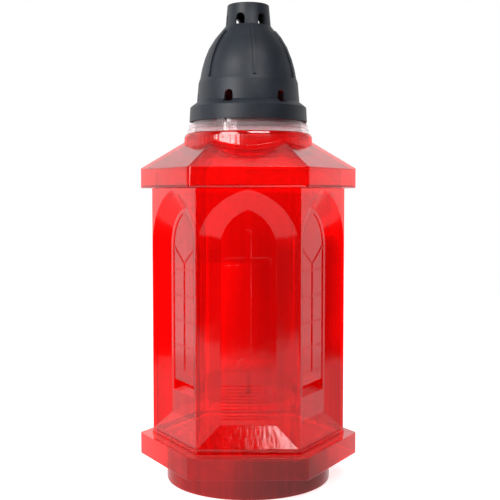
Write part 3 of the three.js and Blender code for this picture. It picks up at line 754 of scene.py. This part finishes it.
# %% [markdown]
# The edges of the sunk cross catch light where they are slightly rounded. They are picked by their depth and
# height and bevelled by half a millimetre, in two segments, which is enough for a soft line at this size.

# %% Chamfers on the crosses
chamfer = 0.0005


def on_cross_outline(edge):
    ends = [body.data.vertices[i].co for i in edge.vertices]
    if not all(cross_low < end.z < cross_high for end in ends):
        return False
    return any(all(abs(end.dot(square_on(turn)[1]) - panel_depth + relief) < near_plane for end in ends)
               for turn in cross_turns)


pick_parts(body, "EDGE", on_cross_outline)
bpy.ops.mesh.bevel(offset=chamfer, segments=2, affect="EDGES", clamp_overlap=True)
bpy.ops.object.mode_set(mode="OBJECT")
smooth(body, relief_angle)

# %% [markdown]
# The plinth and its round foot are one moulding. The foot looks deeper, since its ring is seen twice, at the
# front and at the back, and its darker red is painted shade. The top of the plinth is a narrow ledge, painted
# pale for the light that it catches. Both are told apart from the skirt by their height.

# %% Foot and ledge in their own reds
foot_top, ledge_low = 0.0145, 0.0275
plinth.data.materials.append(foot_painted_shade)
plinth.data.materials.append(ledge_painted_light)
# Painted shade on the foot and painted light on the ledge, as their own reds.
for face in plinth.data.polygons:
    if face.center.z < foot_top:
        face.material_index = 1
    elif face.center.z > ledge_low and face.normal.z > flat:
        face.material_index = 2
print("foot faces", sum(face.material_index == 1 for face in plinth.data.polygons))

# %% [markdown]
# Two clear pieces that share a plane flicker between their finishes, because a ray can't tell which comes
# first. On the real lantern a breath of air always lies between them. The points in the shared planes are
# moved by a tenth of a millimetre: the refill's cup on the liner's floor, the body on the plinth, and the
# liner's rim on the collar.

# %% Air between pieces that touch
breath = 1e-4
liner_floor, cup_wall, collar_top = 0.0515, 0.0008, 0.2197


def shift_points(piece, height, lift, reach=breath):
    """Move the points that lie within reach of a height up by lift."""
    shifted = [point for point in piece.data.vertices if abs(point.co.z - height) < reach]
    for point in shifted:
        point.co.z += lift
    print(piece.name, len(shifted), "points shifted")


shift_points(cup, liner_floor, breath, reach=breath / 10)
shift_points(cup, liner_floor + cup_wall, -breath)
shift_points(body, body_foot, breath)
shift_points(liner, collar_top, breath)

# %% [markdown]
# Above the collar the liner ends in a thick rim with the groove and the pinkish band. Those faces get the
# stronger clear plastic, and the tube below keeps the thin one.

# %% Rim of the liner
liner.data.materials.append(clear_rim)
for face in liner.data.polygons:
    if face.center.z > collar_top - hair:
        face.material_index = 1
print("rim faces", sum(face.material_index == 1 for face in liner.data.polygons))

# %% [markdown]
# The roof's solid is hollow and has seats and a locating skirt inside. Through clear red plastic their edges
# make a tangle of lines that isn't seen on the real roof. So only the outer faces are kept: the eaves band,
# the six facets and the collar. A Solidify modifier then gives them one even wall inwards, and the outside
# stays where it was.

# %% Roof with an even wall
roof_wall = 0.0019
band_outside, collar_inner, collar_outer, collar_low = 0.0577, 0.0375, 0.0415, 0.2045
leans_out, faces_out, faces_up = 0.3, 0.5, 0.5
roof = smooth_copy("roof_cap", "roof", "housing", red_roof)


def hidden(face):
    """True for a face that is on none of the three outsides."""
    x, y, z = face.center
    outward = face.normal.dot(Vector((x, y, 0)).normalized())
    from_axis = max(face.center.dot(way) for way in outward_ways)
    band = from_axis > band_outside and outward > leans_out
    slope = face.normal.z > faces_up
    in_collar = collar_inner < Vector((x, y)).length < collar_outer and z > collar_low
    return not (band or slope or (in_collar and outward > faces_out))


pick_parts(roof, "FACE", hidden)
bpy.ops.mesh.delete(type="FACE")
bpy.ops.mesh.select_all(action="SELECT")
bpy.ops.mesh.delete_loose()
bpy.ops.object.mode_set(mode="OBJECT")
wall = roof.modifiers.new("wall", "SOLIDIFY")
wall.thickness, wall.offset = roof_wall, -1
wall.use_even_offset = wall.use_quality_normals = True
bpy.ops.object.modifier_apply(modifier="wall")
smooth(roof)
print("roof", len(roof.data.polygons), "faces")

# %% [markdown]
# The roof's parts are told apart by direction: upright faces are the eaves band if they are low and the
# collar if they are high, and the eaves band is painted lighter. Of the slopes, the ones that face sideways
# are painted darker than the front and back ones, as painted shade, because the eye looks along them.

# %% Eaves, collar and facets in their own reds
eaves_top, upright, sideways_from = 0.1968, 0.3, 0.5
for finish in (eaves_painted_light, red_collar, facet_painted_shade):
    roof.data.materials.append(finish)
# Painted light on the eaves band and painted shade on the sideways facets.
for face in roof.data.polygons:
    if abs(face.normal.z) < upright:
        face.material_index = 1 if face.center.z < eaves_top else 2
    elif abs(face.normal.y) < sideways_from:
        face.material_index = 3
marked = [face.material_index for face in roof.data.polygons]
print("eaves", marked.count(1), "collar", marked.count(2), "side facets", marked.count(3))

# %% [markdown]
# From the eye to the backdrop, light crosses up to a dozen walls, each with an outer and an inner face. With
# too few bounces the last ones would be cut off and show black, so the renderer is let go on further. The
# plain view transform shows each colour about as it is written.

# %% Bounces and view
cycles = bpy.context.scene.cycles
cycles.max_bounces, cycles.transmission_bounces, cycles.glossy_bounces = 28, 28, 8
bpy.context.scene.view_settings.view_transform = "Standard"
print("bounces", cycles.max_bounces)
